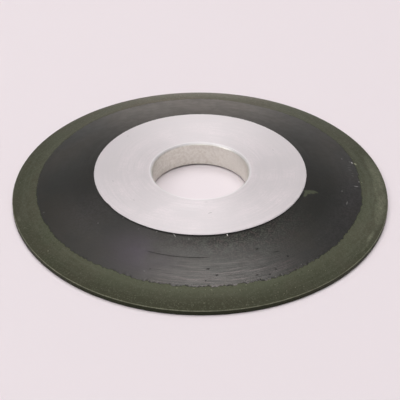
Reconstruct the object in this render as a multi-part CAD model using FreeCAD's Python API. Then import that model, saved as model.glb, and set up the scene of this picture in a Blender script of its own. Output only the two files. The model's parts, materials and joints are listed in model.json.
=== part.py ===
"""Resin-bond diamond grinding wheel of the taper-one-side dish form.

Three rings share one axis and are moulded into one wheel: an aluminium hub ring
with the arbor bore, a black phenolic body pressed around it, and a green
abrasive ring at the rim. The back is one flat face, on which the wheel lies.
The front falls in one straight cone from the hub's flat face to a thin rim.

Millimetres. +Z is the wheel's axis and points out of the front face. The origin
is on that axis, in the plane of the back face.
"""

import FreeCAD
import Part

import math
import os

# Overall sizes, as such a wheel is ordered
outer_diameter = 125.0
hub_thickness = 9.0
bore_diameter = 32.0
rim_thickness = 1.65

# How the front face is divided between the three rings
hub_diameter = 70.3
abrasive_width = 8.5

# Edges
bore_chamfer = 0.6
hub_edge_break = 0.2
rim_edge_radius = 0.35
rim_foot_break = 0.2

# Grooves turned round the hub's wall, which the moulded body fills
key_grooves = 2
key_groove_width = 1.6
key_groove_depth = 0.8

outer_radius = outer_diameter / 2
hub_radius = hub_diameter / 2
bore_radius = bore_diameter / 2
joint_radius = outer_radius - abrasive_width
shoulder_height = hub_thickness - hub_edge_break


def face_height(radius):
    """Height of the front cone at a radius, from the hub's shoulder down to the rim."""
    along = (radius - hub_radius) / (outer_radius - hub_radius)
    return shoulder_height + along * (rim_thickness - shoulder_height)


def key_wall():
    """The seam between hub and body, from the back face up to the shoulder.

    Both rings are turned from these same points, so the body's ridges fill the
    hub's V grooves face to face. The grooves are spread evenly over the height.
    """
    points = [(hub_radius, 0.0)]
    pitch = shoulder_height / (key_grooves + 1)
    for groove in range(key_grooves):
        middle = pitch * (groove + 1)
        points.append((hub_radius, middle - key_groove_width / 2))
        points.append((hub_radius - key_groove_depth, middle))
        points.append((hub_radius, middle + key_groove_width / 2))
    points.append((hub_radius, shoulder_height))
    return points


def section_point(radius, height):
    """A point of a half section, which is drawn in the XZ plane."""
    return FreeCAD.Vector(radius, 0.0, height)


def rounding_arc(before, corner, after, radius):
    """The arc that rounds one corner of a section, tangent to both of its sides."""
    vertex = section_point(*corner)
    to_before = (section_point(*before) - vertex).normalize()
    to_after = (section_point(*after) - vertex).normalize()
    half_angle = to_before.getAngle(to_after) / 2
    reach = radius / math.tan(half_angle)
    bisector = (to_before + to_after).normalize()
    centre = vertex + bisector * (radius / math.sin(half_angle))
    start = vertex + to_before * reach
    end = vertex + to_after * reach
    return Part.Arc(start, centre - bisector * radius, end)


def turned_ring(outline, rounded=None):
    """A solid ring turned about the Z axis from a closed half section.

    outline lists (radius, height) points in order. rounded maps the position of
    a point in that list to the radius that its corner is rounded to.
    """
    rounded = rounded or {}
    count = len(outline)
    arcs = {
        place: rounding_arc(outline[place - 1], outline[place], outline[(place + 1) % count], radius)
        for place, radius in rounded.items()
    }
    edges = []
    for place, point in enumerate(outline):
        following = (place + 1) % count
        start = arcs[place].EndPoint if place in arcs else section_point(*point)
        end = arcs[following].StartPoint if following in arcs else section_point(*outline[following])
        if place in arcs:
            edges.append(arcs[place].toShape())
        edges.append(Part.makeLine(start, end))
    face = Part.Face(Part.Wire(edges))
    return face.revolve(FreeCAD.Vector(0, 0, 0), FreeCAD.Vector(0, 0, 1), 360)


def hub_ring():
    """Aluminium ring: arbor bore chamfered at both ends, two clamping faces, keyed wall."""
    bore_side = [
        (bore_radius, hub_thickness - bore_chamfer),
        (bore_radius, bore_chamfer),
        (bore_radius + bore_chamfer, 0.0),
    ]
    front_face = [
        (hub_radius - hub_edge_break, hub_thickness),
        (bore_radius + bore_chamfer, hub_thickness),
    ]
    return turned_ring(bore_side + key_wall() + front_face)


def moulded_body():
    """Black phenolic disc between hub and abrasive, thinning along the front cone."""
    rim_side = [
        (joint_radius, face_height(joint_radius)),
        (joint_radius, 0.0),
    ]
    return turned_ring(key_wall() + rim_side)


def abrasive_ring():
    """Green abrasive ring, the full thickness of the wheel at its rim."""
    outline = [
        (joint_radius, 0.0),
        (outer_radius - rim_foot_break, 0.0),
        (outer_radius, rim_foot_break),
        (outer_radius, rim_thickness),
        (joint_radius, face_height(joint_radius)),
    ]
    front_edge = outline.index((outer_radius, rim_thickness))
    return turned_ring(outline, rounded={front_edge: rim_edge_radius})


def main():
    """Writes one STEP file for each ring of the wheel."""
    os.makedirs("parts", exist_ok=True)
    rings = {
        "hub_ring": hub_ring(),
        "moulded_body": moulded_body(),
        "abrasive_ring": abrasive_ring(),
    }
    for name, ring in rings.items():
        ring.exportStep(f"parts/{name}.step")
        print(f"{name}: {len(ring.Solids)} solid, {ring.Volume / 1000:.2f} cm3, valid {ring.isValid()}")


main()
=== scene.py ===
"""A diamond dish wheel, dressed for its portrait.

The wheel is three rings moulded into one: an aluminium hub with the arbor bore,
a black phenolic body that thins in one straight cone, and a green abrasive ring
at the rim. Each ring is worked out here as one closed turned surface, with the
relief that turning, moulding and use have left on it, and is then given its
finish. Sizes are in millimetres, and become metres where a mesh is made.
"""

import json
import logging
import math
from dataclasses import dataclass, field
from enum import Enum
from functools import reduce
from typing import NamedTuple

import bpy
import numpy as np
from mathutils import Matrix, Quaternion, Vector
from numpy.typing import NDArray


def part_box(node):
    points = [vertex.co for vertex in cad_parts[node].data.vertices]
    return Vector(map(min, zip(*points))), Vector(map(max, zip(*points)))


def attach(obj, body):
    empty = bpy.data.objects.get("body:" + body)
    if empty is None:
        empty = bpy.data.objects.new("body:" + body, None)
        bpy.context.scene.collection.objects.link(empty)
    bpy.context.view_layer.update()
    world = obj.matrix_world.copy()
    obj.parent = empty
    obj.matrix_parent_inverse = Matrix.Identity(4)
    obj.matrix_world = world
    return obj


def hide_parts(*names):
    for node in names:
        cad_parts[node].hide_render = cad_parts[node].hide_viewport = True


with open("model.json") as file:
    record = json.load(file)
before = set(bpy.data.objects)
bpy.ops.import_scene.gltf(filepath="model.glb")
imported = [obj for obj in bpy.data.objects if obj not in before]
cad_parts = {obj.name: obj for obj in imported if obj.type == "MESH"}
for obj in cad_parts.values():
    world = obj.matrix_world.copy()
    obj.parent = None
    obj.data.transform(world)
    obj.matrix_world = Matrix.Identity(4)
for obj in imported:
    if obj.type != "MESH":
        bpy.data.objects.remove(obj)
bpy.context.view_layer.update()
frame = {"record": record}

log = logging.getLogger("dish_wheel")

Grid = NDArray[np.float64]
Corner = tuple[float, float]
Colour = tuple[float, float, float]
Socket = bpy.types.NodeSocket
Value = Socket | float | tuple[float, ...]

MM = 0.001
NEAR = 0.01
TURN = 2 * math.pi
SHARP_FROM = math.radians(32.0)
ACROSS_THE_TANGENT = 0.25
WHITE: Colour = (1.0, 1.0, 1.0)


class Face(Enum):
    """The faces of a ring's section, as an inspector would name them."""

    FRONT = "front"
    EDGE = "edge"
    WALL = "wall"
    SEAM = "seam"
    BACK = "back"


@dataclass(frozen=True)
class WheelSizes:
    """The wheel's driving sizes, in millimetres.

    The diameters and the thickness come from the frame. The rim's thickness and
    the small edges are the wheel's own sizes, as it is ordered.
    """

    outer: float
    joint: float
    hub: float
    bore: float
    thickness: float
    rim: float = 1.65
    bore_chamfer: float = 0.6
    hub_break: float = 0.2
    rim_round: float = 0.35
    foot_break: float = 0.2
    key_grooves: int = 2
    key_width: float = 1.6
    key_depth: float = 0.8

    @classmethod
    def from_frame(cls) -> "WheelSizes":
        """Radii and thickness of the three rings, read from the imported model.

        Returns:
            The sizes, with each radius taken from its ring's box.
        """
        hub_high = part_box("hub_ring")[1]
        return cls(
            outer=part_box("abrasive_ring")[1][0] / MM,
            joint=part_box("moulded_body")[1][0] / MM,
            hub=hub_high[0] / MM,
            bore=frame["record"]["mounts"][0]["dims"]["r_mm"],
            thickness=hub_high[2] / MM,
        )

    @property
    def shoulder(self) -> float:
        """Height at which the hub's wall meets the front cone."""
        return self.thickness - self.hub_break

    def cone(self, radius: Grid | float) -> Grid | float:
        """Height of the front cone, which falls evenly from the shoulder to the rim.

        Args:
            radius: Distance from the axis.

        Returns:
            The height there.
        """
        along = (radius - self.hub) / (self.outer - self.hub)
        return self.shoulder + along * (self.rim - self.shoulder)


def smooth(share: Grid) -> Grid:
    """The fade 3t^2 - 2t^3, level at both ends."""
    return share * share * (3.0 - 2.0 * share)


def bell(value: Grid, middle: float, spread: float) -> Grid:
    """A bell curve: 1 at the middle and 1/e at the spread from there."""
    return np.exp(-(((value - middle) / spread) ** 2))


def ramp(value: Grid, start: float, end: float) -> Grid:
    """Climbs evenly from 0 at the start to 1 at the end, and is held beyond both."""
    return np.clip((value - start) / (end - start), 0.0, 1.0)


def turned_away(angle: Grid, middle: float) -> Grid:
    """Degrees, from -180 to 180, by which angles in radians lie past a middle in degrees."""
    return (np.degrees(angle) - middle + 180.0) % 360.0 - 180.0


def sector(angle: Grid, middle: float, spread: float) -> Grid:
    """A soft sector of the wheel, a bell curve of the angle; middle and spread are in degrees."""
    return bell(turned_away(angle, middle), 0.0, spread)


class Sector(NamedTuple):
    """A soft sector and what it adds.

    Attributes:
        middle: Its middle, in degrees anticlockwise from +X.
        spread: Degrees from there at which it has fallen to 1/e.
        amount: What it adds at its middle.
    """

    middle: float
    spread: float
    amount: float = 1.0


def sectors(angle: Grid, *parts: Sector) -> Grid:
    """The sum of several soft sectors, each times its amount."""
    return sum(part.amount * sector(angle, part.middle, part.spread) for part in parts)


def periodic_noise(angle: Grid, across: Grid, around: int, pitch: float, seed: int) -> Grid:
    """Smooth random values on a ring, from -1 to 1.

    Random heights stand on a lattice of angle and distance across the ring. The
    lattice closes on itself round the ring, and the smooth fade joins the heights
    between its points.

    Args:
        angle: Angles round the ring, in radians.
        across: Distances across the ring, in millimetres.
        around: How many lattice cells go round the ring.
        pitch: Size of a cell across the ring.
        seed: Chooses the random heights.

    Returns:
        One value for each pair of angle and distance, broadcast together.
    """
    angle, across = np.broadcast_arrays(angle, across)
    turns = (angle / TURN) % 1.0 * around
    steps = across / pitch
    column = np.floor(turns).astype(int) % around
    row = np.floor(steps).astype(int)
    lowest = row.min()
    heights = np.random.default_rng(seed).uniform(-1.0, 1.0, (around, row.max() - lowest + 2))
    row = row - lowest
    fade_u = smooth(turns - np.floor(turns))
    fade_v = smooth(steps - np.floor(steps))
    following = (column + 1) % around
    near = heights[column, row] * (1 - fade_u) + heights[following, row] * fade_u
    far = heights[column, row + 1] * (1 - fade_u) + heights[following, row + 1] * fade_u
    return near * (1 - fade_v) + far * fade_v


def round_noise(angle: Grid, around: int, seed: int) -> Grid:
    """Smooth random values that change round the ring only, from -1 to 1."""
    return periodic_noise(angle, np.zeros(1), around, 1.0, seed)


class Section:
    """A ring's closed half section, drawn as rows of radius and height.

    The rows run anticlockwise with the radius to the right and the height up,
    so that the surface turned from them faces outwards.
    """

    def __init__(self) -> None:
        """Starts an empty section."""
        self._points: list[Grid] = []
        self._faces: list[Face] = []

    def line(self, start: Corner, end: Corner, rows: int, face: Face, extra: tuple[float, ...] = ()) -> None:
        """Adds a straight side: the start plus a share of the way to the end.

        Args:
            start: Radius and height of its first row.
            end: Where it ends; the next side begins there.
            rows: How many rows share it evenly.
            face: The face that it is.
            extra: Shares of the way, from 0 to 1, at which more rows lie.
        """
        share = np.union1d(np.arange(rows) / rows, np.asarray(extra))[:, None]
        self._points.append(np.asarray(start) * (1 - share) + np.asarray(end) * share)
        self._faces += [face] * len(share)

    def wall(self, corners: list[Corner], last: tuple[float, ...] = ()) -> None:
        """Adds a seam's wall, a straight side from each corner to the next.

        Args:
            corners: Its corners, with both ends.
            last: Shares of the last side at which more rows lie.
        """
        ends = len(corners) - 2
        for place, (start, end) in enumerate(zip(corners, corners[1:])):
            self.line(start, end, 1, Face.SEAM, last if place == ends else ())

    def arc(self, centre: Corner, radius: float, first: float, last: float, rows: int, face: Face) -> None:
        """Adds a round side: the centre plus the radius at each angle.

        Args:
            centre: Radius and height of the arc's centre.
            radius: The arc's radius.
            first: Angle of its first row, in degrees.
            last: Angle at which it ends.
            rows: How many rows share it.
            face: The face that it is.
        """
        angle = np.radians(first + (last - first) * np.arange(rows) / rows)
        self._points.append(np.asarray(centre) + radius * np.column_stack((np.cos(angle), np.sin(angle))))
        self._faces += [face] * rows

    @property
    def radius(self) -> Grid:
        """Radius of each row, as one line of a grid."""
        return np.concatenate(self._points)[None, :, 0]

    @property
    def height(self) -> Grid:
        """Height of each row, as one line of a grid."""
        return np.concatenate(self._points)[None, :, 1]

    def on(self, *faces: Face) -> Grid:
        """1 on the rows of the named faces and 0 elsewhere."""
        return np.array([float(face in faces) for face in self._faces])[None, :]


def turned_mesh(name: str, angle: Grid, radius: Grid, height: Grid, closed: bool = True) -> bpy.types.Mesh:
    """A mesh turned round the axis, from a grid with a line for each angle.

    A point is (radius cos a, radius sin a, height). Each face joins two rows and
    two angles, and the grid closes on itself round the axis.

    Args:
        name: The mesh's name.
        angle: The angle of each line.
        radius: Radius of each point.
        height: Height of each point.
        closed: Whether the last row joins the first.

    Returns:
        The mesh, smoothly shaded.
    """
    points = np.stack((radius * np.cos(angle), radius * np.sin(angle), height), axis=-1) * MM
    place = np.arange(radius.size).reshape(radius.shape)
    beside = np.roll(place, -1, axis=0)
    faces = np.stack((place, beside, np.roll(beside, -1, axis=1), np.roll(place, -1, axis=1)), axis=-1)
    if not closed:
        faces = faces[:, :-1]
    mesh = bpy.data.meshes.new(name)
    mesh.from_pydata(points.reshape(-1, 3), [], faces.reshape(-1, 4))
    mesh.shade_smooth()
    return mesh


@dataclass
class Turning:
    """A closed surface turned round the axis, with relief and painted marks.

    Attributes:
        name: The piece's name.
        section: The half section that it is turned from.
        steps: How many steps go round it.
    """

    name: str
    section: Section
    steps: int
    angle: Grid = field(init=False)
    radius: Grid = field(init=False)
    height: Grid = field(init=False)
    marks: dict[str, Grid] = field(init=False, default_factory=dict)

    def __post_init__(self) -> None:
        """Spreads the section round the ring."""
        self.angle = (np.arange(self.steps) * TURN / self.steps)[:, None]
        self.radius = self.section.radius * np.ones_like(self.angle)
        self.height = self.section.height * np.ones_like(self.angle)

    def on(self, *faces: Face) -> Grid:
        """1 on the rows of the named faces and 0 elsewhere."""
        return self.section.on(*faces)

    def paint(self, **marks: Grid) -> None:
        """Keeps painted marks for the finish to read.

        Args:
            marks: How strong each mark is at each point; it is held from 0 to 1.
        """
        for name, amount in marks.items():
            self.marks[name] = np.clip(np.broadcast_to(amount, self.radius.shape), 0.0, 1.0)

    def build(self, finish: "Finish") -> bpy.types.Object:
        """Makes and dresses the piece.

        Args:
            finish: What it is made of.

        Returns:
            The piece, at the origin, with its marks as attributes.
        """
        mesh = turned_mesh(self.name, self.angle, self.radius, self.height)
        mesh.set_sharp_from_angle(angle=SHARP_FROM)
        for name, amount in self.marks.items():
            layer = mesh.attributes.new(name, "FLOAT", "POINT")
            layer.data.foreach_set("value", amount.astype(np.float32).ravel())
        piece = bpy.data.objects.new(self.name, mesh)
        bpy.context.scene.collection.objects.link(piece)
        finish.dress(piece)
        return piece


@dataclass(frozen=True)
class Mark:
    """One mark on a turned face, an ellipse.

    Attributes:
        angle: Degrees anticlockwise from +X.
        radius: Distance from the axis.
        across: Half its size outwards.
        along: Half its size round the ring.
        strength: How strongly it shows, from 0 to 1.
        lean: Degrees that a wired mark is turned anticlockwise.
    """

    angle: float
    radius: float
    across: float
    along: float
    strength: float = 1.0
    lean: float = 0.0

    def on(self, angle: Grid, radius: Grid) -> Grid:
        """The mark on a grid: strength times exp(-d^4), d being 1 on its outline.

        Args:
            angle: Angles of the grid, in radians.
            radius: Radii of the grid.

        Returns:
            The mark's amount at each point.
        """
        outwards = (radius - self.radius) / self.across
        sideways = np.radians(turned_away(angle, self.angle)) * self.radius / self.along
        return self.strength * np.exp(-((outwards**2 + sideways**2) ** 2))


def gathered(marks: tuple[Mark, ...], angle: Grid, radius: Grid) -> Grid:
    """The strongest of several marks at each point."""
    return reduce(np.maximum, (mark.on(angle, radius) for mark in marks))


@dataclass(frozen=True)
class Joint:
    """The line where black body and green ring meet, which isn't a true circle.

    The green mix was filled in by hand before it was pressed, so the line wanders
    by up to about a millimetre, and is lumpy at one side.

    Attributes:
        seed: Chooses the line's random part.
        ragged_at: The middle of the lumpy side, in degrees.
        bends: Where the line bends, with millimetres outwards.
    """

    seed: int
    ragged_at: float
    bends: tuple[Sector, ...] = ()

    def shift(self, angle: Grid) -> Grid:
        """How far the line lies outside the joint's nominal radius.

        It is the sum of the bends, a slow wander, lumps, small teeth and chips.
        Lumps and teeth are larger at the ragged side.

        Args:
            angle: Angles round the ring.

        Returns:
            Millimetres outwards.
        """
        rough = 0.5 + 0.5 * sector(angle, self.ragged_at, 40.0)
        wander = 0.10 * round_noise(angle, 13, self.seed)
        lumps = 0.24 * rough * round_noise(angle, 115, self.seed + 1)
        teeth = 0.34 * (0.35 + 0.65 * rough) * round_noise(angle, 600, self.seed + 2)
        chips = 0.12 * round_noise(angle, 250, self.seed + 3)
        return wander + sectors(angle, *self.bends) + lumps + teeth + chips


class Wiring:
    """Lays the nodes of a material or a world and links them."""

    def __init__(self, owner: bpy.types.Material | bpy.types.World) -> None:
        """Empties the owner's tree.

        Args:
            owner: The material or world to wire.
        """
        owner.use_nodes = True
        self.tree = owner.node_tree
        self.tree.nodes.clear()

    def feed(self, socket: Socket, value: Value) -> None:
        """Links a socket to another, or sets its constant.

        Args:
            socket: The input.
            value: Another socket or a constant; a colour gets its alpha here.
        """
        if isinstance(value, Socket):
            self.tree.links.new(value, socket)
        elif socket.type == "RGBA":
            socket.default_value = (*value, 1.0)
        else:
            socket.default_value = value

    def node(self, kind: str, feeds: dict[str | int, Value] | None = None, **settings: str) -> bpy.types.Node:
        """Adds a node.

        Args:
            kind: Its type.
            feeds: What goes into its inputs, by name or by number.
            settings: Its own options.

        Returns:
            The node.
        """
        made = self.tree.nodes.new(kind)
        for name, setting in settings.items():
            setattr(made, name, setting)
        for place, value in (feeds or {}).items():
            self.feed(made.inputs[place], value)
        return made

    def math(self, operation: str, first: Value, second: Value = 0.0) -> Socket:
        """One sum on two numbers."""
        return self.node("ShaderNodeMath", {0: first, 1: second}, operation=operation).outputs[0]

    def times(self, first: Value, second: Value) -> Socket:
        """The product of two numbers."""
        return self.math("MULTIPLY", first, second)

    def larger(self, first: Value, second: Value) -> Socket:
        """The larger of two numbers."""
        return self.math("MAXIMUM", first, second)

    def total(self, *parts: Value) -> Socket:
        """The sum of several numbers."""
        return reduce(lambda first, second: self.math("ADD", first, second), parts)

    def vector(self, x: Value, y: Value, z: Value) -> Socket:
        """Three numbers joined to a vector."""
        return self.node("ShaderNodeCombineXYZ", {0: x, 1: y, 2: z}).outputs[0]

    def vectors(self, operation: str, *parts: Value) -> bpy.types.Node:
        """One sum on vectors."""
        return self.node("ShaderNodeVectorMath", dict(enumerate(parts)), operation=operation)

    def length(self, place: Socket) -> Socket:
        """A vector's length."""
        return self.vectors("LENGTH", place).outputs["Value"]

    def noise(self, place: Socket, scale: float, detail: float) -> bpy.types.Node:
        """Soft noise at a place, as a number from 0 to 1 and as a colour."""
        return self.node("ShaderNodeTexNoise", {"Vector": place, "Scale": scale, "Detail": detail})

    def grains(self, place: Socket, scale: float) -> tuple[Socket, Socket]:
        """Cells like packed grains.

        Args:
            place: Where to look.
            scale: Cells to a metre.

        Returns:
            The distance to the nearest cell's middle, and a random tone for each cell.
        """
        made = self.node("ShaderNodeTexVoronoi", {"Vector": place, "Scale": scale})
        tone = self.node("ShaderNodeSeparateColor", {0: made.outputs["Color"]})
        return made.outputs["Distance"], tone.outputs[0]

    def band(self, value: Socket, low: float, high: float, start: float = 0.0, end: float = 1.0) -> Socket:
        """Carries a range over to another one as a smooth step, held at both ends.

        Args:
            value: The number to carry over.
            low: Where its range starts.
            high: Where its range ends.
            start: The result at low.
            end: The result at high.

        Returns:
            The carried number.
        """
        feeds = {"Value": value, "From Min": low, "From Max": high, "To Min": start, "To Max": end}
        return self.node("ShaderNodeMapRange", feeds, interpolation_type="SMOOTHSTEP").outputs["Result"]

    def mix(self, share: Value, first: Value, second: Value) -> Socket:
        """The first colour, with a share of the second one over it."""
        feeds = {"Factor": share, "A": first, "B": second}
        return self.node("ShaderNodeMix", feeds, data_type="RGBA").outputs["Result"]

    def coats(self, tone: Value, *coats: tuple[Value, Value]) -> Socket:
        """Lays coats of colour over a tone.

        Args:
            tone: The colour underneath.
            coats: The share and the colour of each coat, from the lowest up.

        Returns:
            The colour that shows.
        """
        for share, colour in coats:
            tone = self.mix(share, tone, colour)
        return tone

    def dots(self, place: Socket, scale: float, share: float, size: float) -> Socket:
        """Sparse round dots on random cells.

        Args:
            place: Where to look.
            scale: Cells to a metre.
            share: The share of the cells that carry a dot.
            size: A dot's radius, as a share of a cell.

        Returns:
            1 in a dot, falling to 0 outside it.
        """
        near, tone = self.grains(place, scale)
        kept = self.band(tone, 1.0 - share, 1.0 - 0.8 * share)
        return self.times(self.band(near, size, 0.6 * size), kept)

    def spot(self, place: Socket, mark: Mark) -> Socket:
        """One mark that is too small for the mesh.

        The mark's own frame has its middle at 0 and its outline at 1.

        Args:
            place: Where to look.
            mark: The mark.

        Returns:
            Its strength in it, falling to 0 outside it.
        """
        turned = math.radians(mark.angle)
        feeds = {
            "Vector": place,
            "Location": Vector((math.cos(turned), math.sin(turned), 0.0)) * mark.radius * MM,
            "Rotation": (0.0, 0.0, turned + math.radians(mark.lean)),
            "Scale": (mark.across * MM, mark.along * MM, 1.0),
        }
        local = self.node("ShaderNodeMapping", feeds, vector_type="TEXTURE").outputs[0]
        return self.band(self.length(local), 1.25, 0.6, 0.0, mark.strength)

    def spots(self, place: Socket, marks: tuple[Mark, ...]) -> Socket:
        """The strongest of several marks that are too small for the mesh."""
        return reduce(self.larger, (self.spot(place, mark) for mark in marks))

    def stirred(self, place: Socket, scale: float, reach: float) -> Socket:
        """A place moved a little at random, so that marks there get uneven outlines.

        Args:
            place: Where to look.
            scale: How fast the moves change.
            reach: The longest move each way, in millimetres.

        Returns:
            The place plus the reach times random numbers from -1 to 1.
        """
        push = self.noise(place, scale, 1.0).outputs["Color"]
        start = self.vectors("SUBTRACT", place, (reach * MM,) * 3).outputs[0]
        return self.vectors("MULTIPLY_ADD", push, (2.0 * reach * MM,) * 3, start).outputs[0]

    def painted(self, name: str) -> Socket:
        """A mark that the piece carries, from 0 to 1."""
        return self.node("ShaderNodeAttribute", attribute_type="GEOMETRY", attribute_name=name).outputs["Fac"]

    def where(self, name: str, amount: Value) -> Socket:
        """An amount that shows as far as the piece carries a mark."""
        return self.times(self.painted(name), amount)

    def relief(self, height: Value, distance: float, under: Socket | None = None) -> Socket:
        """Fine relief that is too small for the mesh.

        Args:
            height: The relief's height, from 0 to 1.
            distance: What 1 stands for, in millimetres.
            under: Coarser relief that this lies on.

        Returns:
            The bent normal.
        """
        feeds = {"Strength": 1.0, "Distance": distance * MM, "Height": height}
        if under is not None:
            feeds["Normal"] = under
        return self.node("ShaderNodeBump", feeds).outputs["Normal"]


class TurnedPlaces:
    """Where a point lies on a turned piece, worked out from its Object coordinates."""

    up_the_wall = 1.7

    def __init__(self, wiring: Wiring) -> None:
        """Wires radius, height and direction.

        Args:
            wiring: The material's wiring.
        """
        self.wiring = wiring
        self.place = wiring.node("ShaderNodeTexCoord").outputs["Object"]
        x, y, z = wiring.node("ShaderNodeSeparateXYZ", {0: self.place}).outputs
        distance = wiring.math("SQRT", wiring.total(wiring.times(x, x), wiring.times(y, y)))
        self.radius = wiring.math("DIVIDE", distance, MM)
        self.height = wiring.math("DIVIDE", z, MM)
        self.east = wiring.math("DIVIDE", x, distance)
        self.north = wiring.math("DIVIDE", y, distance)
        self.round_the_ring = wiring.vector(wiring.times(self.north, -1.0), self.east, 0.0)

    def noise(self, scale: float, detail: float) -> Socket:
        """Soft noise that is even all ways, from 0 to 1."""
        return self.wiring.noise(self.place, scale, detail).outputs["Fac"]

    def streaks(self, per_mm: float, around: float, detail: float, drift: float = 0.0) -> Socket:
        """Noise that is drawn out round the ring, as turning marks are.

        It is the noise at (across, around * direction), which closes on itself.
        Across grows with the radius and, up a wall, with the height.

        Args:
            per_mm: How fast the noise changes across the ring.
            around: How much it changes in a turn.
            detail: How many finer layers it has.
            drift: Moves the noise, so that two layers differ.

        Returns:
            The noise, from 0 to 1.
        """
        wiring = self.wiring
        steps = wiring.total(self.radius, wiring.times(self.height, self.up_the_wall))
        across = wiring.total(wiring.times(steps, per_mm), drift)
        place = wiring.vector(across, wiring.times(self.east, around), wiring.times(self.north, around))
        return wiring.noise(place, 1.0, detail).outputs["Fac"]


class Finish:
    """What every finish does: it wires a material and gives it to a piece."""

    slot = ""

    def wire(self, wiring: Wiring, places: TurnedPlaces) -> dict[str, Value]:
        """The shader's inputs, by name; each finish has its own."""
        raise NotImplementedError

    def material(self) -> bpy.types.Material:
        """Makes the material.

        Returns:
            The wired material, under the name of its slot.
        """
        made = bpy.data.materials.new(self.slot)
        wiring = Wiring(made)
        places = TurnedPlaces(wiring)
        grain = {"Anisotropic Rotation": ACROSS_THE_TANGENT, "Tangent": places.round_the_ring}
        shader = wiring.node("ShaderNodeBsdfPrincipled", grain | self.wire(wiring, places))
        wiring.node("ShaderNodeOutputMaterial", {"Surface": shader.outputs[0]})
        return made

    def dress(self, piece: bpy.types.Object) -> None:
        """Gives the finish to a piece."""
        piece.data.materials.append(self.material())


@dataclass(frozen=True)
class TurnedAluminium(Finish):
    """Satin aluminium, faced on a lathe, with handling marks, painted shade and highlights, and a dull warm
    bore.
    """

    slot = "turned_aluminium"
    metal: Colour = (0.844, 0.759, 0.783)
    dull: Colour = (0.690, 0.640, 0.654)
    bright: Colour = (0.92, 0.89, 0.90)
    bore: Colour = (0.82, 0.81, 0.745)
    stain: Colour = (0.60, 0.57, 0.49)
    grime: Colour = (0.016, 0.014, 0.012)
    nick: Colour = (0.34, 0.32, 0.32)
    nicks: tuple[Mark, ...] = (
        Mark(277.4, 24.2, 0.16, 0.75, 0.7, 18.0),
        Mark(275.9, 18.3, 0.20, 0.60, 0.3),
        Mark(26.2, 27.5, 0.18, 0.45, 0.4),
        Mark(141.0, 32.3, 0.20, 0.40, 0.4),
        Mark(193.4, 29.3, 0.20, 0.55, 0.3),
        Mark(219.3, 27.3, 0.18, 0.45, 0.3),
    )

    def wire(self, wiring: Wiring, places: TurnedPlaces) -> dict[str, Value]:
        """Arcs of turning marks, soft smudging, the bore's stain, the dirt in the seam, and painted shade and
        highlights.

        Args:
            wiring: The material's wiring.
            places: Where a point lies on the ring.

        Returns:
            The shader's inputs, by name.
        """
        arcs = places.streaks(per_mm=1.3, around=1.5, detail=5.0)
        lines = places.streaks(per_mm=9.0, around=3.0, detail=3.0, drift=7.0)
        smudge, blotch, grain = places.noise(85.0, 4.0), places.noise(1100.0, 5.0), places.noise(1300.0, 3.0)
        inside, edge, grime = wiring.painted("bore"), wiring.painted("edge"), wiring.painted("grime")
        stained = wiring.where("stained", wiring.band(blotch, 0.34, 0.70, 0.08, 0.60))
        tone = wiring.coats(
            self.metal,
            (wiring.band(smudge, 0.36, 0.66, 0.0, 0.75), self.dull),
            (wiring.band(arcs, 0.42, 0.62, 0.0, 0.50), self.dull),
            (wiring.band(lines, 0.44, 0.66, 0.0, 0.50), self.dull),
            (wiring.band(places.radius, 22.0, 34.5, 0.0, 0.22), self.dull),
            # Handling marks, and painted shade that dulls the brightest sectors of the front's reflection.
            (wiring.painted("handled"), self.dull),
            (wiring.band(grain, 0.42, 0.60, 0.0, 0.35), self.dull),
            (wiring.where("streak", wiring.band(lines, 0.45, 0.65)), self.bright),
            (wiring.spots(places.place, self.nicks), self.nick),
            (inside, wiring.mix(stained, self.bore, self.stain)),
            # Painted highlight on the bore's chamfer and the outer edge break.
            (edge, self.bright),
            # Dirt in the seam, and a painted shadow at the foot of the bore.
            (grime, self.grime),
        )
        rough = wiring.total(
            0.52,
            wiring.times(lines, 0.10),
            wiring.times(inside, -0.22),
            wiring.times(edge, -0.12),
            wiring.times(grime, 0.4),
        )
        shine = wiring.total(0.33, wiring.times(inside, 0.50))
        return {
            "Base Color": tone,
            "Metallic": wiring.times(shine, wiring.math("SUBTRACT", 1.0, grime)),
            "Roughness": rough,
            "Anisotropic": 0.55,
            "Normal": wiring.relief(lines, 0.0012),
        }


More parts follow.
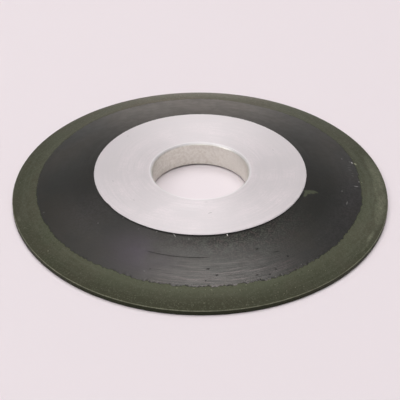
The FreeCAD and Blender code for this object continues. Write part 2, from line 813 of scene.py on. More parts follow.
@dataclass(frozen=True)
class BlackPhenolic(Finish):
    """Black moulding that was skimmed in the lathe: streaky, half matt, a little dusty, with a painted sheen
    on the front.
    """

    slot = "black_phenolic"
    black: Colour = (0.0130, 0.0122, 0.0108)
    brown: Colour = (0.022, 0.020, 0.016)
    slate: Colour = (0.016, 0.017, 0.0155)
    dust_and_sheen: Colour = (0.090, 0.059, 0.060)
    violet: Colour = (0.042, 0.031, 0.048)
    moss: Colour = (0.048, 0.053, 0.041)
    rust: Colour = (0.058, 0.045, 0.041)
    grime: Colour = (0.004, 0.004, 0.004)
    deep: Colour = (0.004, 0.004, 0.003)
    haze: Colour = (0.075, 0.066, 0.072)
    green: Colour = (0.058, 0.064, 0.039)
    spill: Colour = (0.120, 0.122, 0.084)
    metal: Colour = (0.62, 0.60, 0.58)
    smear: tuple[Mark, ...] = (
        Mark(339.3, 36.4, 0.55, 1.6),
        Mark(341.6, 36.6, 1.2, 0.95),
        Mark(342.9, 37.7, 1.3, 0.8),
        Mark(344.1, 38.8, 1.1, 0.45),
    )
    pits: tuple[Mark, ...] = (
        Mark(252.4, 49.5, 0.26, 0.26, 0.7),
        Mark(273.0, 47.7, 0.24, 0.55, 0.75),
        Mark(276.0, 50.0, 0.24, 0.44, 0.7),
        Mark(272.1, 51.9, 0.26, 0.26, 0.75),
        Mark(294.0, 43.0, 0.32, 0.48, 0.7),
        Mark(300.5, 46.0, 0.18, 1.20, 0.55, -8.0),
        Mark(303.5, 48.9, 0.32, 0.44, 0.75),
        Mark(289.4, 51.9, 0.24, 0.42, 0.75),
        Mark(293.7, 52.7, 0.26, 0.38, 0.75),
        Mark(296.5, 51.6, 0.24, 0.34, 0.7),
    )
    specks: tuple[Mark, ...] = (
        Mark(227.6, 35.7, 0.26, 0.16, 0.14),
        Mark(239.0, 36.9, 0.30, 0.16, 0.07, -25.0),
        Mark(248.2, 35.9, 0.40, 0.14, 0.16, -30.0),
        Mark(257.4, 35.9, 0.85, 0.13, 0.34, 42.0),
        Mark(264.8, 36.8, 0.20, 0.40, 0.14, 10.0),
        Mark(277.0, 36.8, 0.16, 0.24, 0.10),
        Mark(283.6, 35.75, 0.50, 0.15, 1.0),
        Mark(305.5, 53.2, 0.18, 0.26, 0.10),
        Mark(319.1, 49.1, 0.18, 0.18, 0.06),
        Mark(220.2, 41.9, 0.20, 0.20, 0.14),
        Mark(199.3, 53.3, 0.40, 0.24, 0.09),
        Mark(15.1, 50.2, 0.24, 0.24, 0.34),
        Mark(12.9, 53.2, 0.32, 0.38, 0.65),
        Mark(13.4, 52.5, 0.34, 0.12, 0.34),
        Mark(11.0, 51.6, 0.60, 0.11, 0.14),
        Mark(9.2, 51.2, 0.70, 0.11, 0.16),
        Mark(7.6, 51.1, 0.60, 0.12, 0.20),
        Mark(5.4, 51.6, 0.60, 0.11, 0.12),
        Mark(3.7, 51.4, 0.40, 0.14, 0.12),
        Mark(1.2, 50.1, 0.20, 0.20, 0.08),
        Mark(0.6, 53.3, 0.50, 0.16, 0.6, 20.0),
        Mark(357.2, 51.9, 0.85, 0.14, 0.38, 4.0),
        Mark(351.4, 47.1, 0.20, 0.26, 0.22),
        Mark(344.9, 49.4, 0.13, 1.00, 0.22, 4.0),
        Mark(250.8, 50.6, 0.20, 0.30, 0.08),
    )

    def wire(self, wiring: Wiring, places: TurnedPlaces) -> dict[str, Value]:
        """Turning streaks under a dusty film that carries a painted sheen at the front, with pits, crumbs,
        smear and specks.

        Args:
            wiring: The material's wiring.
            places: Where a point lies on the ring.

        Returns:
            The shader's inputs, by name.
        """
        arcs = places.streaks(per_mm=0.7, around=1.8, detail=5.0)
        lines = places.streaks(per_mm=7.5, around=6.5, detail=4.0, drift=3.0)
        cloud, mottle = places.noise(60.0, 4.0), places.noise(380.0, 4.0)
        speckle, fleck = places.noise(1300.0, 3.0), places.noise(1900.0, 2.0)
        stirred = wiring.stirred(places.place, 1400.0, 0.16)
        pores = wiring.where("pitted", wiring.dots(stirred, 1150.0, 0.16, 0.30))
        holes = wiring.larger(pores, wiring.spots(stirred, self.pits))
        holes = wiring.larger(holes, wiring.painted("grime"))
        spilled = wiring.where("spilled", wiring.dots(stirred, 1400.0, 0.45, 0.34))
        smeared = wiring.times(wiring.spots(stirred, self.smear), wiring.band(speckle, 0.25, 0.5, 0.8, 1.0))
        flecked = wiring.where("flecked", wiring.band(fleck, 0.45, 0.61, 0.0, 0.95))
        tone = wiring.coats(
            self.brown,
            (wiring.band(cloud, 0.35, 0.65), self.slate),
            (wiring.band(arcs, 0.3, 0.7, 0.0, 0.3), self.black),
            (wiring.band(places.radius, 36.0, 47.0, 0.5, 0.0), self.deep),
            # Painted sheen: a pale pinkish coat on the turning lines where the front's sheen falls, partly a
            # dusty film.
            (wiring.where("streaky", wiring.band(lines, 0.45, 0.72)), self.dust_and_sheen),
            (wiring.where("bloom", wiring.band(cloud, 0.25, 0.5)), self.violet),
            (flecked, wiring.mix(wiring.band(mottle, 0.44, 0.58), self.moss, self.rust)),
            (wiring.where("scuffed", wiring.band(speckle, 0.35, 0.65, 0.09, 0.34)), self.haze),
            (smeared, self.green),
            (holes, self.grime),
            (spilled, self.spill),
            (wiring.spots(places.place, self.specks), self.metal),
        )
        rough = wiring.total(
            wiring.band(mottle, 0.35, 0.65, 0.375, 0.425),
            wiring.where("streaky", wiring.band(lines, 0.3, 0.7, 0.0, -0.22)),
            wiring.where("dull", wiring.band(places.radius, 35.5, 42.0, 0.30, 0.0)),
            wiring.where("matt", 0.09),
            wiring.band(places.radius, 36.0, 51.0, 0.05, 0.0),
            wiring.times(holes, 0.5),
            wiring.times(spilled, 0.4),
        )
        fine = wiring.relief(wiring.math("SUBTRACT", speckle, holes), 0.02)
        return {
            "Base Color": tone,
            "Roughness": wiring.math("MINIMUM", rough, 0.95),
            "Specular Tint": (1.0, 0.950, 0.91),
            "Anisotropic": 0.6,
            "Normal": wiring.relief(lines, 0.0018, fine),
        }


@dataclass(frozen=True)
class GreenAbrasive(Finish):
    """Olive-green resin packed with fine grit: matt, mottled, glinting here and there."""

    slot = "green_abrasive"
    olive: Colour = (0.041, 0.046, 0.028)
    tan: Colour = (0.051, 0.046, 0.032)
    deep: Colour = (0.014, 0.015, 0.006)
    pale: Colour = (0.078, 0.083, 0.060)
    fresh: Colour = (0.069, 0.077, 0.048)
    rubbed: Colour = (0.182, 0.187, 0.131)
    pore_and_shade: Colour = (0.003, 0.009, 0.001)
    fleck: Colour = (0.22, 0.22, 0.155)
    clay: Colour = (0.078, 0.061, 0.044)
    specks: tuple[Mark, ...] = (
        Mark(262.9, 54.7, 0.24, 0.36, 0.45),
        Mark(268.2, 54.5, 0.22, 0.36, 0.40),
        Mark(273.8, 55.2, 0.20, 0.20, 0.40),
        Mark(282.4, 56.0, 0.20, 0.20, 0.50),
        Mark(285.0, 60.7, 0.20, 0.20, 0.40),
        Mark(271.3, 59.6, 0.20, 0.36, 0.35),
        Mark(291.8, 54.6, 0.22, 0.22, 0.40),
        Mark(217.1, 59.0, 0.26, 0.30, 0.50),
        Mark(229.1, 60.6, 0.18, 0.18, 0.35),
        Mark(12.3, 54.2, 0.52, 0.62, 0.95),
        Mark(0.6, 54.0, 0.26, 0.34, 0.55),
        Mark(341.7, 60.0, 0.40, 0.16, 0.35),
        Mark(202.6, 60.5, 0.26, 0.30, 0.25),
    )

    def wire(self, wiring: Wiring, places: TurnedPlaces) -> dict[str, Value]:
        """Clouds of green and tan, darker to the rim, with painted shade, grit, pores, wear, a painted
        highlight and flecks.

        Args:
            wiring: The material's wiring.
            places: Where a point lies on the ring.

        Returns:
            The shader's inputs, by name.
        """
        arcs = places.streaks(per_mm=1.6, around=2.4, detail=3.0)
        cloud, mottle = places.noise(70.0, 3.0), places.noise(260.0, 4.0)
        patch, speckle = places.noise(850.0, 3.0), places.noise(1700.0, 2.0)
        near, grain = wiring.grains(places.place, 3600.0)
        gritty = wiring.where("gritty", wiring.dots(places.place, 1150.0, 0.16, 0.20))
        tone = wiring.coats(
            self.olive,
            (wiring.band(cloud, 0.38, 0.62), self.tan),
            (wiring.band(mottle, 0.36, 0.64, 0.0, 0.30), self.deep),
            (wiring.band(patch, 0.42, 0.66, 0.0, 0.36), self.pale),
            (wiring.band(arcs, 0.45, 0.72, 0.0, 0.45), self.pale),
            (wiring.painted("inner"), self.fresh),
            # Darker to the rim, and painted shade in sectors of the front and the sides.
            (wiring.painted("outer"), self.deep),
            (wiring.painted("dusty"), self.clay),
            (wiring.band(grain, 0.78, 0.97, 0.0, 0.40), self.pale),
            (wiring.band(speckle, 0.62, 0.75, 0.0, 0.6), self.pore_and_shade),
            # Rubbed patches, and a painted highlight along the top of the rim's round edge.
            (wiring.where("rubbed", wiring.band(speckle, 0.36, 0.60, 0.65, 1.1)), self.rubbed),
            # Dirt in the seam, and painted shade on the rim's wall.
            (wiring.painted("grime"), self.pore_and_shade),
            (wiring.larger(gritty, wiring.spots(places.place, self.specks)), self.fleck),
        )
        rough = wiring.band(grain, 0.6, 1.0, 0.70, 0.58)
        return {
            "Base Color": tone,
            "Roughness": wiring.math("SUBTRACT", rough, wiring.painted("smooth")),
            "Specular Tint": (1.0, 0.965, 0.71),
            "Anisotropic": 0.2,
            "Normal": wiring.relief(near, 0.006, wiring.relief(speckle, 0.008)),
        }


def key_wall(sizes: WheelSizes) -> list[Corner]:
    """The seam between hub and body: a straight wall with V grooves turned in it.

    Args:
        sizes: The wheel's sizes.

    Returns:
        The corners from the back up, without the two ends.
    """
    pitch = sizes.shoulder / (sizes.key_grooves + 1)
    corners: list[Corner] = []
    for groove in range(sizes.key_grooves):
        middle = pitch * (groove + 1)
        corners.append((sizes.hub, middle - sizes.key_width / 2))
        corners.append((sizes.hub - sizes.key_depth, middle))
        corners.append((sizes.hub, middle + sizes.key_width / 2))
    return corners


@dataclass
class HubRing:
    """The aluminium hub: arbor bore, two clamping faces and the keyed wall.

    Attributes:
        sizes: The wheel's sizes.
        steps: How many steps go round it.
        finish: What it is made of.
        cut: Height of the lathe's cuts on both faces.
        burr: How much the burrs on the front edge vary, at most.
        notch: The notch in the front edge.
        smudge_and_shade_sectors: Where the front is painted duller: handling marks, and painted shade on its
            brightest reflection.
        streaks: Bright streaks before the bore.
    """

    sizes: WheelSizes
    steps: int = 1200
    finish: TurnedAluminium = TurnedAluminium()
    cut: float = 0.004
    burr: float = 0.09
    notch: Sector = Sector(214.5, 2.6, 0.50)
    smudge_and_shade_sectors: tuple[Sector, ...] = (
        Sector(38.0, 18.0, 0.36),
        Sector(132.0, 25.0, 0.30),
        Sector(90.0, 10.0, 0.26),
    )
    streaks: tuple[Mark, ...] = (
        Mark(262.0, 20.6, 0.5, 5.5, 0.50),
        Mark(258.0, 22.6, 0.4, 4.5, 0.40),
        Mark(251.0, 24.4, 0.35, 4.0, 0.35),
    )

    def section(self) -> Section:
        """The hub's half section, from the foot of the bore round to it again.

        Returns:
            The section.
        """
        s = self.sizes
        mouth = s.bore + s.bore_chamfer
        brink = s.hub - s.hub_break
        below = s.thickness - s.bore_chamfer
        made = Section()
        made.line((mouth, 0.0), (s.hub, 0.0), 14, Face.BACK)
        made.wall([(s.hub, 0.0), *key_wall(s), (s.hub, s.shoulder)], (0.85, 0.985))
        made.line((s.hub, s.shoulder), (brink, s.thickness), 2, Face.EDGE)
        made.line((brink, s.thickness), (mouth, s.thickness), 30, Face.FRONT)
        made.line((mouth, s.thickness), (s.bore, below), 3, Face.EDGE)
        made.line((s.bore, below), (s.bore, s.bore_chamfer), 8, Face.WALL)
        made.line((s.bore, s.bore_chamfer), (mouth, 0.0), 3, Face.EDGE)
        return made

    def build(self) -> bpy.types.Object:
        """Turns the hub, cuts its tool marks, and leaves its edge a little uneven.

        Returns:
            The dressed piece.
        """
        s = self.sizes
        ring = Turning("hub", self.section(), self.steps)
        angle, radius, front = ring.angle, ring.radius, ring.on(Face.FRONT)
        cuts = 0.5 + 0.5 * periodic_noise(angle, radius, around=3, pitch=0.8, seed=11)
        ring.height = ring.height - self.cut * cuts * (front - ring.on(Face.BACK))
        burrs = 0.5 + 0.5 * round_noise(angle, 380, 12)
        brink = (radius > s.hub - s.hub_break - NEAR) * (ring.height > s.shoulder - NEAR)
        ring.radius = radius - (self.burr * burrs + sectors(angle, self.notch)) * brink
        by_bore = ring.on(Face.EDGE) * (radius < s.bore + 1.0)
        chamfer = by_bore * (ring.height > 0.5 * s.thickness)
        foot = by_bore - chamfer
        down = ramp(ring.height, s.thickness, s.thickness - s.bore_chamfer)
        by_edge = sectors(angle, Sector(75.0, 50.0), Sector(150.0, 40.0)) * ramp(radius, 24.0, 31.0)
        # Painted shade: the front is painted duller in sectors where its reflection is brightest, less so in
        # two sectors, together with handling smudges.
        less_shaded = sectors(angle, Sector(325.0, 30.0), Sector(217.0, 20.0, 0.8))
        smudged_and_shaded = (0.15 + 0.16 * ramp(radius, 28.0, 32.0)) * (1.0 - less_shaded)
        smudged_and_shaded = smudged_and_shaded + sectors(angle, *self.smudge_and_shade_sectors)
        before_bore = 0.80 * sector(angle, 262.0, 15.0) * bell(radius, 24.5, 4.2)
        # Painted shadow: the bore's foot is painted dark where it meets the floor, most on the far side.
        foot_shadow = foot * (ring.height < 0.75 * s.bore_chamfer) * (0.65 + 0.35 * sector(angle, 92.0, 40.0))
        ring.paint(
            bore=ring.on(Face.WALL) + 0.6 * down * chamfer + foot,
            stained=1.0 - 0.7 * sector(angle, 38.0, 34.0),
            # Painted highlight: pale on the top of the bore's chamfer and on the outer edge break.
            edge=chamfer * (0.75 - 0.8 * down) + 0.2 * ring.on(Face.EDGE) * (radius > s.hub - 1.0),
            streak=front * gathered(self.streaks, angle, radius),
            handled=front * (smudged_and_shaded + before_bore + 0.42 * by_edge),
            grime=ring.on(Face.SEAM) + foot_shadow,
        )
        piece = ring.build(self.finish)
        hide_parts("hub_ring")
        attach(piece, "root")
        return piece


@dataclass
class MouldedBody:
    """The black body, thinning along the front cone to the green ring.

    Attributes:
        sizes: The wheel's sizes.
        front_joint: Its outline on the front.
        back_joint: Its outline on the back.
        steps: How many steps go round it.
        finish: What it is made of.
        seam_width: How far the seam round the hub gapes at most.
        seam_depth: How deep the seam is.
        scratch_radius: Where the long scratch lies.
        scratch_depth: How deep it is.
        crumb_depth: How deep the front edge has crumbled.
    """

    sizes: WheelSizes
    front_joint: Joint
    back_joint: Joint
    steps: int = 1440
    finish: BlackPhenolic = BlackPhenolic()
    seam_width: float = 0.42
    seam_depth: float = 0.34
    scratch_radius: float = 43.5
    scratch_depth: float = 0.03
    crumb_depth: float = 0.10

    def section(self) -> Section:
        """The body's half section, from the foot of the seam round to it again.

        Returns:
            The section, with more rows by the joint and across the scratch.
        """
        s = self.sizes
        joint_top = (s.joint, s.cone(s.joint))
        lip = (s.hub + self.seam_width, s.cone(s.hub + self.seam_width))
        dip = (s.hub, s.shoulder - self.seam_depth)
        rows_at = [s.joint - distance for distance in (0.15, 0.35, 0.6)]
        rows_at += [self.scratch_radius + step for step in (-0.2, -0.1, 0.0, 0.1, 0.2)]
        extra = tuple((s.joint - radius) / (s.joint - lip[0]) for radius in rows_at)
        made = Section()
        made.line((s.hub, 0.0), (s.joint, 0.0), 12, Face.BACK)
        made.line((s.joint, 0.0), joint_top, 3, Face.SEAM)
        made.line(joint_top, lip, 34, Face.FRONT, extra)
        made.line(lip, dip, 2, Face.EDGE)
        made.wall([dip, *reversed(key_wall(s)), (s.hub, 0.0)])
        return made

    def build(self) -> bpy.types.Object:
        """Turns the body, lets its outline wander, and dents and paints its front.

        Returns:
            The dressed piece.
        """
        s = self.sizes
        ring = Turning("moulded_disc", self.section(), self.steps)
        angle, front = ring.angle, ring.on(Face.FRONT)
        follow_joint(ring, s, self.front_joint, self.back_joint)
        self.open_seam(ring)
        radius = ring.radius
        scratch = self.scratch(angle, radius)
        crumbs = self.crumbled_edge(angle, radius)
        waves = 0.012 * periodic_noise(angle, radius, around=5, pitch=1.9, seed=21)
        ripples = 0.005 * periodic_noise(angle, radius, around=9, pitch=0.8, seed=22)
        dents = self.scratch_depth * scratch + self.crumb_depth * crumbs
        underside = 0.006 + 0.006 * periodic_noise(angle, radius, around=7, pitch=2.3, seed=23)
        ring.height = ring.height + front * (waves + ripples - dents) + ring.on(Face.BACK) * underside
        # The seam's lip is painted dark at the front, where it gapes: painted shade in the gap, with dirt.
        lip = ring.on(Face.EDGE) * sector(angle, 272.0, 50.0)
        inwards = ramp(radius, 50.0, 38.0)
        right = sector(angle, 348.0, 32.0) * bell(radius, 51.0, 5.0)
        left = 0.6 * sector(angle, 212.0, 15.0) * ramp(radius, 52.0, 46.0)
        by_joint = sector(angle, 283.0, 22.0) * bell(radius, s.joint, 1.6)
        by_hub = 0.5 * sector(angle, 288.0, 34.0) * ramp(radius, 44.0, 40.0)
        ring.paint(
            grime=front * (0.85 * scratch + 0.9 * crumbs) + lip + ring.on(Face.SEAM),
            matt=front * sectors(angle, Sector(24.0, 14.0), Sector(161.0, 14.0)) * (radius > 38.0),
            dull=front * inwards * sector(angle, 297.0, 41.0),
            flecked=front * inwards * sector(angle, 289.0, 31.0),
            # Where the front's sheen falls: the turning lines there carry a painted sheen and are smoother.
            streaky=0.04 + 0.96 * front * sector(angle, 277.5, 21.5) * ramp(radius, 43.0, 50.0),
            bloom=0.9 * front * sector(angle, 246.0, 12.0) * bell(radius, 44.5, 6.5),
            scuffed=front * np.maximum(right, left),
            spilled=front * sector(angle, 274.0, 28.0) * bell(radius, s.joint, 1.1),
            pitted=front * np.maximum(by_joint, by_hub),
        )
        piece = ring.build(self.finish)
        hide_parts("moulded_body")
        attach(piece, "root")
        return piece

    def open_seam(self, ring: Turning) -> None:
        """Moves the seam's lip, which gapes at the front and all but closes at the sides.

        The lip stands off the hub by the seam's width times its opening, and the rows
        below it keep their share of the way down to the dip.

        Args:
            ring: The turned body.
        """
        s = self.sizes
        uneven = 0.85 + 0.15 * round_noise(ring.angle, 210, 24)
        opening = self.seam_width * (0.15 + 0.85 * sector(ring.angle, 272.0, 50.0) * uneven)
        share = (ring.radius - s.hub) / self.seam_width
        dip = s.shoulder - self.seam_depth
        on_lip = ring.on(Face.EDGE) > 0
        ring.radius = np.where(on_lip, s.hub + share * opening, ring.radius)
        ring.height = np.where(on_lip, dip + share * (s.cone(s.hub + opening) - dip), ring.height)

    def scratch(self, angle: Grid, radius: Grid) -> Grid:
        """The thin scratch that runs round part of the front, fading at both ends.

        Args:
            angle: Angles of the grid.
            radius: Radii of the grid.

        Returns:
            Its depth from 0 to 1: a bell across it times a soft window along it.
        """
        line = self.scratch_radius + 0.05 * np.sin(6.0 * angle)
        window = ramp(np.abs(turned_away(angle, 260.5)), 13.5, 10.5)
        return window * bell(radius, line, 0.10)

    def crumbled_edge(self, angle: Grid, radius: Grid) -> Grid:
        """Where the body's edge has crumbled along the joint, mostly at one side.

        Args:
            angle: Angles of the grid.
            radius: Radii of the grid.

        Returns:
            Depth from 0 to 1: random gaps along the line times a fall-off from it.
        """
        line = self.sizes.joint + self.front_joint.shift(angle)
        gaps = np.clip(1.9 * round_noise(angle, 610, 41) - 0.05, 0.0, 1.0)
        return gaps * (0.25 + 0.75 * sector(angle, 274.0, 30.0)) * bell(radius, line, 0.36)


def follow_joint(ring: Turning, sizes: WheelSizes, front: Joint, back: Joint, reach: float = 3.0) -> None:
    """Moves a ring's outline with the wandering joint, and keeps its faces in plane.

    The shift fades out evenly over the reach. Up the joint's wall it passes
    evenly from the back's line to the front's, and front rows stay on the cone.

    Args:
        ring: The ring to move, before any relief.
        sizes: The wheel's sizes.
        front: The joint's line on the front.
        back: The joint's line on the back.
        reach: How far from the joint rows still move.
    """
    top = sizes.cone(sizes.joint)
    on_front = ring.on(Face.FRONT)
    off_joint = np.abs(ring.radius - sizes.joint)
    climb = np.maximum(ramp(ring.height, 0.0, top), on_front)
    shift = climb * front.shift(ring.angle) + (1 - climb) * back.shift(ring.angle)
    ring.radius = ring.radius + ramp(off_joint, reach, 0.0) * shift
    cone = sizes.cone(ring.radius)
    in_seam = ring.on(Face.SEAM) * (off_joint < NEAR)
    ring.height = np.where(on_front > 0, cone, ring.height)
    ring.height = np.where(in_seam > 0, ring.height * cone / top, ring.height)


@dataclass
class AbrasiveRing:
    """The green abrasive ring, the full thickness of the wheel at its rim.

    Attributes:
        sizes: The wheel's sizes.
        front_joint: Its inner outline on the front.
        back_joint: Its inner outline on the back.
        steps: How many steps go round it.
        finish: What it is made of.
        rubbed: Where the front is rubbed pale.
    """

    sizes: WheelSizes
    front_joint: Joint
    back_joint: Joint
    steps: int = 1440
    finish: GreenAbrasive = GreenAbrasive()
    rubbed: tuple[Mark, ...] = (
        Mark(343.0, 57.6, 3.6, 24.0, 0.24),
        Mark(351.0, 60.0, 2.0, 14.0, 0.64),
        Mark(6.0, 60.2, 2.2, 12.0, 0.62),
        Mark(8.5, 58.9, 0.9, 4.4, 0.50),
        Mark(359.0, 58.9, 1.2, 5.5, 0.65),
        Mark(350.5, 60.0, 1.1, 4.8, 0.95),
        Mark(343.0, 60.4, 0.6, 2.8, 0.45),
        Mark(333.5, 60.4, 0.60, 3.6, 0.85),
        Mark(328.0, 60.9, 0.35, 3.0, 0.50),
        Mark(197.5, 61.2, 0.5, 1.5, 0.30),
    )

    def section(self) -> Section:
        """The ring's half section, from the foot of the joint round to it again.

        Returns:
            The section, with the rim's round touching wall and cone.
        """
        s = self.sizes
        slope = math.atan2(s.shoulder - s.rim, s.outer - s.hub)
        reach = s.rim_round / math.tan((TURN / 4 + slope) / 2)
        middle = (s.outer - s.rim_round, s.rim - reach)
        joint_top = (s.joint, s.cone(s.joint))
        top = (middle[0] + s.rim_round * math.sin(slope), middle[1] + s.rim_round * math.cos(slope))
        made = Section()
        made.line((s.joint, 0.0), (s.outer - s.foot_break, 0.0), 10, Face.BACK)
        made.line((s.outer - s.foot_break, 0.0), (s.outer, s.foot_break), 2, Face.EDGE)
        made.line((s.outer, s.foot_break), (s.outer, middle[1]), 5, Face.WALL)
        made.arc(middle, s.rim_round, 0.0, 90.0 - math.degrees(slope), 6, Face.EDGE)
        made.line(top, joint_top, 28, Face.FRONT, (0.955, 0.98))
        made.line(joint_top, (s.joint, 0.0), 3, Face.SEAM)
        return made

    def build(self) -> bpy.types.Object:
        """Turns the ring, lets its joint wander, roughens it and wears its edge, then paints a highlight
        along the edge and shade on the wall.

        Returns:
            The dressed piece.
        """
        s = self.sizes
        ring = Turning("abrasive_rim", self.section(), self.steps)
        angle, front = ring.angle, ring.on(Face.FRONT)
        follow_joint(ring, s, self.front_joint, self.back_joint)
        radius = ring.radius
        grit = periodic_noise(angle, radius, around=1200, pitch=0.33, seed=51)
        waves = 0.010 * periodic_noise(angle, radius, around=9, pitch=1.7, seed=52)
        ring.height = ring.height + front * (waves + 0.006 * grit)
        flats = periodic_noise(angle, radius, around=60, pitch=5.0, seed=53)
        chips = np.clip(2.0 * round_noise(angle, 220, 54) - 1.2, 0.0, 1.0)
        wear = 0.02 + 0.015 * (1 + flats) + 0.012 * (1 + grit) + 0.05 * chips
        rim = ring.on(Face.EDGE, Face.WALL)
        ring.radius = radius - rim * wear
        rounded = ring.on(Face.EDGE) * (ring.height > s.rim - 0.13)
        # Painted highlight: a pale line along the top of the rim's round edge, a little stronger at the lower
        # left.
        edge_highlight = rounded * (0.85 + 0.12 * sector(angle, 235.0, 50.0) + 0.35 * round_noise(angle, 160, 55))
        patches = periodic_noise(angle, radius, around=260, pitch=0.7, seed=56)
        patches = patches + periodic_noise(angle, radius, around=600, pitch=0.35, seed=57)
        rubbed = (0.66 + 0.22 * patches) * gathered(self.rubbed, angle, radius)
        # Painted shade: the rim's wall and edges, below the top of the round edge, are painted dark, darkest
        # at the front.
        shaded = 0.44 + 0.46 * sector(angle, 268.0, 46.0)
        outwards = ramp(radius, s.joint + 1.5, s.outer - 2.0)
        # Darker to the rim all round, with painted shade by sector on top, most at the front; dim is more
        # painted shade at two sectors of the sides.
        deep = 0.12 + sectors(angle, Sector(184.0, 36.0, 0.18), Sector(264.0, 50.0, 0.74))
        dim = front * sectors(angle, Sector(38.0, 24.0, 0.16), Sector(143.0, 26.0, 0.16))
        by_joint = 0.6 * sector(angle, 270.0, 26.0) * bell(radius, s.joint, 1.3)
        ring.paint(
            rubbed=front * rubbed + edge_highlight,
            grime=ring.on(Face.SEAM) + shaded * (rim - rounded),
            outer=(front * outwards + (1 - front)) * deep + dim,
            smooth=(0.12 + 0.11 * outwards) * sector(angle, 89.0, 50.0),
            inner=front * bell(radius, s.joint, 4.2) * (0.06 + 0.64 * sector(angle, 275.0, 66.0)),
            dusty=0.7 * front * bell(radius, s.joint, 2.4) * sector(angle, 104.0, 26.0),
            gritty=front * (0.15 + 0.50 * sector(angle, 288.0, 30.0) + by_joint),
        )
        piece = ring.build(self.finish)
        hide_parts("abrasive_ring")
        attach(piece, "root")
        return piece


@dataclass(frozen=True)
class Panel:
    """A flat rectangular lamp that faces the wheel.

    Attributes:
        name: The lamp's name.
        place: Where its middle hangs.
        width: Its level side.
        height: Its other side.
        tint: The colour of its light.
    """

    name: str
    place: tuple[float, float, float]
    width: float
    height: float
    tint: Colour = WHITE

    def view_of_floor(self, steps: int = 24) -> float:
        """How strongly the floor by the wheel sees the panel.

        It is the mean, over points of the panel, of the cosine at the panel times
        the cosine at the floor over the distance squared.

        Args:
            steps: Points along each side.

        Returns:
            The mean, in 1/m^2.
        """
        middle = np.asarray(self.place)
        facing = -middle / np.linalg.norm(middle)
        level = np.cross((0.0, 0.0, 1.0), facing)
        level /= np.linalg.norm(level)
        upright = np.cross(facing, level)
        share = (np.arange(steps) + 0.5) / steps - 0.5
        across, along = np.meshgrid(share * self.width, share * self.height)
        points = middle + across[..., None] * level + along[..., None] * upright
        distance = np.linalg.norm(points, axis=-1)
        at_panel = -(points @ facing) / distance
        at_floor = np.clip(points[..., 2], 0.0, None) / distance
        return float((at_panel * at_floor / (distance * MM) ** 2).mean())

    def hang(self, watts: float) -> None:
        """Hangs the panel, out of the camera's sight.

        Args:
            watts: Its power.
        """
        lamp = bpy.data.lights.new(self.name, "AREA")
        lamp.shape = "RECTANGLE"
        lamp.size = self.width * MM
        lamp.size_y = self.height * MM
        lamp.color = self.tint
        lamp.energy = watts
        holder = bpy.data.objects.new(self.name, lamp)
        holder.location = Vector(self.place) * MM
        holder.rotation_mode = "QUATERNION"
        holder.rotation_quaternion = (-holder.location).to_track_quat("-Z", "Y")
        holder.visible_camera = False
        bpy.context.scene.collection.objects.link(holder)


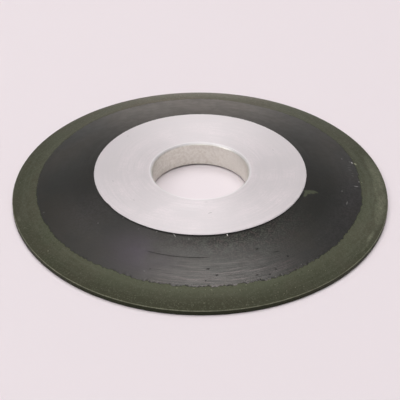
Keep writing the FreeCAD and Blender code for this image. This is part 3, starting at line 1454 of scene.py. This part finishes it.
@dataclass
class Studio:
    """Floor, light and camera: a pale table under a long soft panel and three small ones.

    The camera's figures come from fitting a pinhole camera to the wheel's circles.
    """

    pale: Colour = (0.842, 0.760, 0.790)
    brightness: float = 0.9728
    room_level: float = 0.144
    ceiling_level: float = 0.56
    ceiling_from: float = 0.65
    ceiling_to: float = 0.90
    overhead: Panel = Panel("overhead_panel", (20.0, 200.0, 1950.0), 1000.0, 2200.0)
    side: Panel = Panel("side_panel", (-1250.0, -550.0, 1400.0), 800.0, 800.0)
    side_share: float = 0.125
    window: Panel = Panel("window_panel", (-580.0, 1150.0, 1500.0), 800.0, 700.0)
    window_share: float = 0.035
    low: Panel = Panel("low_panel", (-25.0, 1440.0, 110.0), 500.0, 200.0, (1.0, 0.848, 0.735))
    low_level: float = 2.94
    camera_distance: float = 395.66
    camera_elevation: float = 35.508
    camera_roll: float = 0.33
    aim: tuple[float, float, float] = (-0.03, -4.66, 0.0)
    lens: float = 106.0
    sensor: float = 36.0
    floor_drop: float = 0.02
    floor_steps: int = 96
    inner_rows: tuple[float, ...] = (800.0, 200.0, 0.0)
    flat_radius: float = 1500.0
    wall_radius: float = 2500.0
    wall_height: float = 480.0
    plain_from: float = 350.0
    plain_to: float = 1100.0

    def floor(self) -> None:
        """Lays a round table that sweeps up into a low wall all round.

        Out to the flat radius the height is nil. From there to the wall it climbs
        as the square of the share of the way, so that no edge shows.
        """
        angle = (np.arange(self.floor_steps) * TURN / self.floor_steps)[:, None]
        rows = np.concatenate((np.linspace(self.wall_radius, self.flat_radius, 12), self.inner_rows))
        radius = rows * np.ones_like(angle)
        height = ramp(radius, self.flat_radius, self.wall_radius) ** 2 * self.wall_height - self.floor_drop
        mesh = turned_mesh("table", angle, radius, height, closed=False)
        mesh.materials.append(self.table_finish())
        table = bpy.data.objects.new("table", mesh)
        bpy.context.scene.collection.objects.link(table)

    def table_finish(self) -> bpy.types.Material:
        """A flat pale finish that shows the wheel's shadow.

        Further out the camera, and what is mirrored in metal, see the plain pale
        colour itself, so that the backdrop is even whichever way one looks.

        Returns:
            The material.
        """
        material = bpy.data.materials.new("pale_table")
        wiring = Wiring(material)
        place = wiring.node("ShaderNodeTexCoord").outputs["Object"]
        rays = wiring.node("ShaderNodeLightPath").outputs
        seen = wiring.larger(rays["Is Glossy Ray"], rays["Is Transmission Ray"])
        seen = wiring.larger(seen, rays["Is Camera Ray"])
        far = wiring.band(wiring.length(place), self.plain_from * MM, self.plain_to * MM)
        lit = wiring.node("ShaderNodeBsdfDiffuse", {"Color": self.pale}).outputs[0]
        colour = wiring.mix(rays["Is Camera Ray"], WHITE, self.pale)
        plain = wiring.node("ShaderNodeEmission", {"Color": colour}).outputs[0]
        choice = wiring.node("ShaderNodeMixShader", {0: wiring.times(seen, far), 1: lit, 2: plain})
        wiring.node("ShaderNodeOutputMaterial", {"Surface": choice.outputs[0]})
        return material

    def light(self) -> None:
        """Fills the room and hangs the panels.

        A panel's power is pi^2 times its share of the light over its view of the
        floor, so that all shares together light a white floor to the brightness.
        The low panel only shows in what is seen at a shallow slant: its power is
        pi times its level times its area.
        """
        rest = self.brightness - self.room() - self.side_share - self.window_share
        lamps = ((self.overhead, rest), (self.side, self.side_share), (self.window, self.window_share))
        for panel, share in lamps:
            panel.hang(math.pi**2 * share / panel.view_of_floor())
        self.low.hang(math.pi * self.low_level * self.low.width * self.low.height * MM**2)

    def room(self) -> float:
        """A plain dim room with a bright ceiling.

        The level passes from the room's to the ceiling's as a smooth step of the
        direction's upward part.

        Returns:
            The room's share of a white floor's light: the mean of the level over
            all directions above, weighted by twice the upward part.
        """
        world = bpy.data.worlds.new("room")
        bpy.context.scene.world = world
        wiring = Wiring(world)
        direction = wiring.node("ShaderNodeTexCoord").outputs["Generated"]
        upward = wiring.node("ShaderNodeSeparateXYZ", {0: direction}).outputs[2]
        level = wiring.band(upward, self.ceiling_from, self.ceiling_to, self.room_level, self.ceiling_level)
        air = wiring.node("ShaderNodeBackground", {"Color": WHITE, "Strength": level})
        wiring.node("ShaderNodeOutputWorld", {"Surface": air.outputs[0]})
        sines = (np.arange(200) + 0.5) / 200
        step = smooth(ramp(sines, self.ceiling_from, self.ceiling_to))
        levels = self.room_level + step * (self.ceiling_level - self.room_level)
        return float((levels * 2.0 * sines).mean())

    def camera(self) -> None:
        """Sets the camera up: back from the axis by the distance, raised by the elevation."""
        rise = math.radians(self.camera_elevation)
        place = Vector((0.0, -math.cos(rise), math.sin(rise))) * self.camera_distance * MM
        look = Vector(self.aim) * MM - place
        data = bpy.data.cameras.new("camera")
        data.sensor_fit = "HORIZONTAL"
        data.sensor_width = self.sensor
        data.lens = self.lens
        data.clip_start = 0.01
        holder = bpy.data.objects.new("camera", data)
        holder.location = place
        holder.rotation_mode = "QUATERNION"
        roll = Quaternion((0.0, 0.0, 1.0), math.radians(self.camera_roll))
        holder.rotation_quaternion = look.to_track_quat("-Z", "Y") @ roll
        bpy.context.scene.collection.objects.link(holder)
        bpy.context.scene.camera = holder

    def build(self) -> None:
        """Sets up floor, light and camera, with colours shown as they are."""
        self.floor()
        self.light()
        self.camera()
        bpy.context.scene.view_settings.view_transform = "Standard"


def main() -> None:
    """Builds the three rings and the studio, and reports each piece."""
    logging.basicConfig(level=logging.INFO, format="%(name)s: %(message)s")
    sizes = WheelSizes.from_frame()
    bends = (
        Sector(0.0, 9.0, -0.75),
        Sector(66.0, 12.0, -0.75),
        Sector(150.0, 9.0, -0.35),
        Sector(195.0, 34.0, 0.2),
        Sector(240.0, 8.0, -0.5),
        Sector(300.0, 8.0, 0.3),
        Sector(331.0, 9.0, -0.4),
    )
    front_joint = Joint(seed=71, ragged_at=272.0, bends=bends)
    back_joint = Joint(seed=81, ragged_at=120.0)
    rings = (
        HubRing(sizes),
        MouldedBody(sizes, front_joint, back_joint),
        AbrasiveRing(sizes, front_joint, back_joint),
    )
    for ring in rings:
        piece = ring.build()
        log.info("%s has %d faces in %s", piece.name, len(piece.data.polygons), ring.finish.slot)
    Studio().build()


if __name__ == "__main__":
    main()
